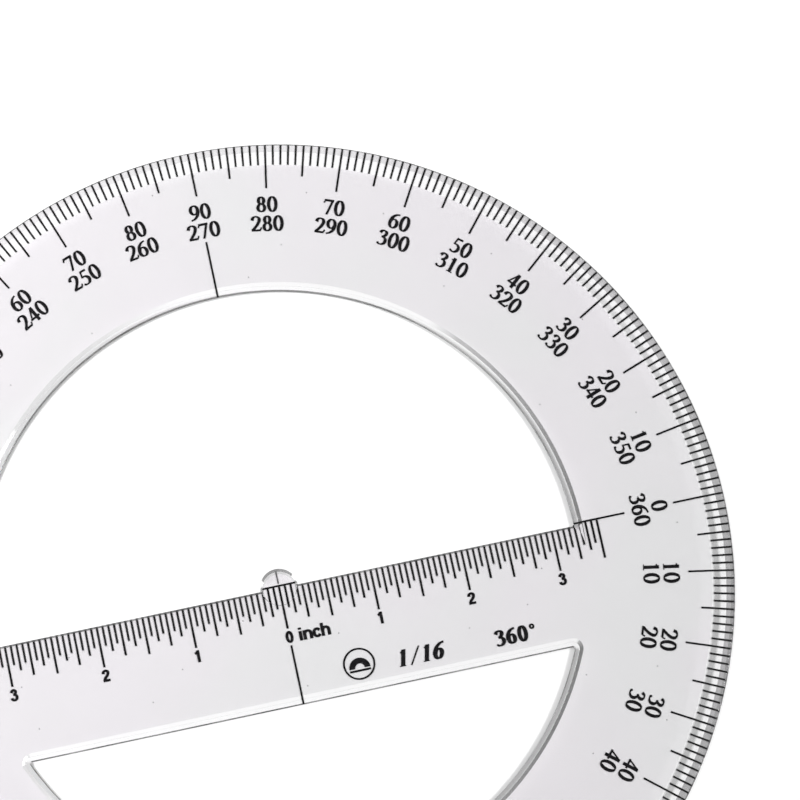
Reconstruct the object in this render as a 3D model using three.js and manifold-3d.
// A full-circle protractor with a ruler crossbar: one clear moulded plate, and the ink that
// fills the shallow grooves of its marks. Millimetres, +Z up. The origin is the centre of
// the degree circle, on the underside that lies on the paper. +X points to 0 degrees and
// +Y to 90 degrees, so the crossbar lies along X and its ruler edge faces +Y.
import * as THREE from 'three';
import { mergeVertices } from 'three/addons/utils/BufferGeometryUtils.js';
import Module from 'manifold-3d';

const wasm = await Module();
wasm.setup();

// ---- driving dimensions -------------------------------------------------------------

const INCH = 25.4;
const THICKNESS = 2.2;

// The ring's rim falls in two slopes: a shallow bevel, then a steeper lip.
const RIM = { radius: 124.7, lipRadius: 122.1, bevelRadius: 118.4, lipHeight: 1.5, edgeHeight: 0.8 };

// Both openings share the ring's inner circle, with a narrow bevel round it.
const HOLE = { radius: 82.5, bevelWidth: 2.4, edgeHeight: 1.2 };

// The crossbar's ruler edge runs just below the 0 to 180 degree line.
const BAR = {
  rulerEdgeY: -0.6, rulerBevelWidth: 6, rulerEdgeHeight: 1.1,
  backEdgeY: -33.2, backBevelWidth: 2.2, backEdgeHeight: 1.2,
  cornerRadius: 0.5,
};

// The tab is a full-height round boss on the centre, half of it past the ruler edge.
const TAB_RADIUS = 5.1;

// Every mark is a straight groove in the underside, filled flush with ink.
const GROOVE = { depth: 0.1, sideGap: 0.04 };
const MARK_WIDTH = 0.52;
const DEGREE_MARK = { step: 10, outerRadius: 124.5, innerRadius: 112, axisInnerRadius: 110.5 };
const INDEX_MARK = { innerRadius: 82.8, outerRadius: 98.6, axisOuterRadius: 96.8 };
const INCH_MARK = {
  reach: 3.5, step: 0.5, width: 0.58, topY: -0.75, wholeBottomY: -12, halfBottomY: -11,
  topGap: 0.06, // between a mark that stops at a line and that line
};
const CROSS = {
  baselineHalfLength: 4.8, baselineWidth: 0.5,
  meridianBottomY: 0.6, meridianTopY: 4.1, meridianWidth: 0.36,
};
const BAR_MERIDIAN = { topY: -16.7, bottomY: -33 };

const CIRCLE_STEPS = 180; // a multiple of 4, so the circle's widest points are vertices
const TAB_STEPS = 48;
const CORNER_STEPS = 6;
const CUT_MARGIN = 1; // how far a cutting solid reaches past the face that it opens

// ---- materials ----------------------------------------------------------------------

const clearPlastic = new THREE.MeshStandardMaterial({
  name: 'clear_plastic', color: 0xece9ee, roughness: 0.06, metalness: 0, transparent: true, opacity: 0.35,
});
const blackInk = new THREE.MeshStandardMaterial({
  name: 'black_ink', color: 0x0d0c0e, roughness: 0.55, metalness: 0,
});

// ---- solids -------------------------------------------------------------------------

function solidFrom(geometry) {
  const bare = geometry.clone();
  bare.deleteAttribute('normal');
  bare.deleteAttribute('uv');
  const merged = mergeVertices(bare, 1e-5);
  const index = merged.index.array;
  const triangles = [];
  for (let i = 0; i < index.length; i += 3) {
    const [a, b, c] = index.slice(i, i + 3);
    if (a !== b && b !== c && c !== a) triangles.push(a, b, c);
  }
  return new wasm.Manifold(new wasm.Mesh({
    numProp: 3,
    vertProperties: new Float32Array(merged.attributes.position.array),
    triVerts: new Uint32Array(triangles),
  }));
}

function geometryFrom(solid) {
  const mesh = solid.getMesh();
  const geometry = new THREE.BufferGeometry();
  geometry.setAttribute('position', new THREE.BufferAttribute(mesh.vertProperties, 3));
  geometry.setIndex(new THREE.BufferAttribute(mesh.triVerts, 1));
  geometry.computeVertexNormals();
  return geometry;
}

// A profile of [radius, height] corners, from the foot of the axis round to its top.
function turned(profile) {
  const points = profile.map(([radius, height]) => new THREE.Vector2(radius, height));
  return solidFrom(new THREE.LatheGeometry(points, CIRCLE_STEPS).rotateX(Math.PI / 2));
}

// A section of [y, height] corners, pulled along X.
function pulledAlongX(section, halfLength) {
  const shape = new THREE.Shape(section.map(([y, height]) => new THREE.Vector2(y, height)));
  const geometry = new THREE.ExtrudeGeometry(shape, { depth: 2 * halfLength, bevelEnabled: false });
  geometry.applyMatrix4(new THREE.Matrix4().set(
    0, 0, 1, -halfLength,
    1, 0, 0, 0,
    0, 1, 0, 0,
    0, 0, 0, 1,
  ));
  return solidFrom(geometry);
}

function arcPoints(x, y, radius, from, to, steps) {
  return Array.from({ length: steps + 1 }, (_, i) => {
    const angle = from + (to - from) * i / steps;
    return new THREE.Vector2(x + radius * Math.cos(angle), y + radius * Math.sin(angle));
  });
}

// ---- the plate ----------------------------------------------------------------------

function discBlank() {
  return turned([
    [0, 0], [RIM.radius, 0], [RIM.radius, RIM.edgeHeight], [RIM.lipRadius, RIM.lipHeight],
    [RIM.bevelRadius, THICKNESS], [0, THICKNESS],
  ]);
}

// The space inside the ring's inner circle, with its bevel carried on above the plate.
function ringSpace() {
  const top = THICKNESS + CUT_MARGIN;
  const slope = HOLE.bevelWidth / (THICKNESS - HOLE.edgeHeight);
  return turned([
    [0, -CUT_MARGIN], [HOLE.radius, -CUT_MARGIN], [HOLE.radius, HOLE.edgeHeight],
    [HOLE.radius + slope * (top - HOLE.edgeHeight), top], [0, top],
  ]);
}

// The space on the ruler edge's side of the crossbar, over its wide bevel.
function rulerSideSpace() {
  const top = THICKNESS + CUT_MARGIN;
  const slope = BAR.rulerBevelWidth / (THICKNESS - BAR.rulerEdgeHeight);
  const bevelEndY = BAR.rulerEdgeY - slope * (top - BAR.rulerEdgeHeight);
  return pulledAlongX([
    [BAR.rulerEdgeY, -CUT_MARGIN], [RIM.radius, -CUT_MARGIN], [RIM.radius, top],
    [bevelEndY, top], [BAR.rulerEdgeY, BAR.rulerEdgeHeight],
  ], RIM.radius);
}

// The lower opening: a segment of the inner circle, its two corners rounded.
function lowerOpeningOutline() {
  const cornerY = BAR.backEdgeY - BAR.cornerRadius;
  const cornerX = Math.sqrt((HOLE.radius - BAR.cornerRadius) ** 2 - cornerY ** 2);
  const tangent = Math.atan2(cornerY, cornerX);
  return [
    ...arcPoints(cornerX, cornerY, BAR.cornerRadius, Math.PI / 2, tangent, CORNER_STEPS),
    ...arcPoints(0, 0, HOLE.radius, tangent, -Math.PI - tangent, CIRCLE_STEPS / 3).slice(1),
    ...arcPoints(-cornerX, cornerY, BAR.cornerRadius, Math.PI - tangent, Math.PI / 2, CORNER_STEPS).slice(1),
  ];
}

function lowerOpening() {
  const outline = new THREE.Shape(lowerOpeningOutline());
  const bevelHeight = THICKNESS - BAR.backEdgeHeight;
  const through = new THREE.ExtrudeGeometry(outline, {
    depth: BAR.backEdgeHeight + 2 * CUT_MARGIN, bevelEnabled: false,
  }).translate(0, 0, -CUT_MARGIN);
  const flare = new THREE.ExtrudeGeometry(outline, {
    depth: CUT_MARGIN, bevelThickness: bevelHeight, bevelSize: BAR.backBevelWidth, bevelSegments: 1,
  }).translate(0, 0, THICKNESS);
  return solidFrom(through).add(solidFrom(flare));
}

function centreTab() {
  const geometry = new THREE.CylinderGeometry(TAB_RADIUS, TAB_RADIUS, THICKNESS, TAB_STEPS);
  return solidFrom(geometry.rotateX(Math.PI / 2).translate(0, 0, THICKNESS / 2));
}

// ---- the marks ----------------------------------------------------------------------

// A mark runs along its own +X from `from` to `to`, and is turned by `angle` about the
// origin. `offset` shifts it sideways first.
function mark(name, { from, to, angle = 0, offset = 0, width = MARK_WIDTH }) {
  return { name, from, to, angle, offset, width };
}

function degreeMarks() {
  return Array.from({ length: 360 / DEGREE_MARK.step }, (_, i) => {
    const degrees = i * DEGREE_MARK.step;
    const onBarLine = degrees % 180 === 0;
    return mark(`degree_mark_${String(degrees).padStart(3, '0')}`, {
      from: onBarLine ? DEGREE_MARK.axisInnerRadius : DEGREE_MARK.innerRadius,
      to: DEGREE_MARK.outerRadius,
      angle: degrees,
    });
  });
}

function indexMarks() {
  return [0, 90, 180, 270].map((degrees) => mark(`index_mark_${String(degrees).padStart(3, '0')}`, {
    from: INDEX_MARK.innerRadius,
    to: degrees % 180 === 0 ? INDEX_MARK.axisOuterRadius : INDEX_MARK.outerRadius,
    angle: degrees,
  }));
}

// Marks across the crossbar run down from the ruler edge, so they are turned to -Y, and
// a sideways offset then moves them along X. The zero mark starts under the centre
// baseline and the two end marks under the index marks, which lie on the 0 to 180 line.
function inchName(inches) {
  if (inches === 0) return 'zero';
  return `${inches < 0 ? 'left' : 'right'}_${Math.abs(inches).toFixed(1).replace('.', '_')}`;
}

function inchMarkTop(inches) {
  if (inches === 0) return CROSS.baselineWidth / 2 + INCH_MARK.topGap;
  if (Math.abs(inches) === INCH_MARK.reach) return MARK_WIDTH / 2 + INCH_MARK.topGap;
  return -INCH_MARK.topY;
}

function inchMarks() {
  const last = Math.round(INCH_MARK.reach / INCH_MARK.step);
  return Array.from({ length: 2 * last + 1 }, (_, i) => {
    const inches = (i - last) * INCH_MARK.step;
    return mark(`inch_mark_${inchName(inches)}`, {
      from: inchMarkTop(inches),
      to: Number.isInteger(inches) ? -INCH_MARK.wholeBottomY : -INCH_MARK.halfBottomY,
      angle: -90,
      offset: inches * INCH,
      width: INCH_MARK.width,
    });
  });
}

function centreMarks() {
  return [
    mark('centre_baseline', {
      from: -CROSS.baselineHalfLength, to: CROSS.baselineHalfLength, width: CROSS.baselineWidth,
    }),
    mark('centre_meridian', {
      from: CROSS.meridianBottomY, to: CROSS.meridianTopY, angle: 90, width: CROSS.meridianWidth,
    }),
    mark('crossbar_meridian', { from: -BAR_MERIDIAN.topY, to: -BAR_MERIDIAN.bottomY, angle: -90 }),
  ];
}

function markSolid({ from, to, angle, offset, width }, gap, bottom, top) {
  const geometry = new THREE.BoxGeometry(to - from + 2 * gap, width + 2 * gap, top - bottom);
  geometry.translate((from + to) / 2, offset, (bottom + top) / 2);
  return geometry.rotateZ(THREE.MathUtils.degToRad(angle));
}

// ---- assembly -----------------------------------------------------------------------

function clearPlate(marks) {
  const opened = discBlank()
    .subtract(ringSpace().intersect(rulerSideSpace()))
    .subtract(lowerOpening())
    .add(centreTab());
  return marks.reduce(
    (plate, each) => plate.subtract(solidFrom(markSolid(each, GROOVE.sideGap, -CUT_MARGIN, GROOVE.depth))),
    opened,
  );
}

function named(name, geometry, material) {
  const mesh = new THREE.Mesh(geometry, material);
  mesh.name = name;
  return mesh;
}

const marks = [...degreeMarks(), ...indexMarks(), ...inchMarks(), ...centreMarks()];
const protractor = new THREE.Group();
protractor.add(named('clear_plate', geometryFrom(clearPlate(marks)), clearPlastic));
for (const each of marks) {
  protractor.add(named(each.name, markSolid(each, 0, 0, GROOVE.depth), blackInk));
}

export default protractor;
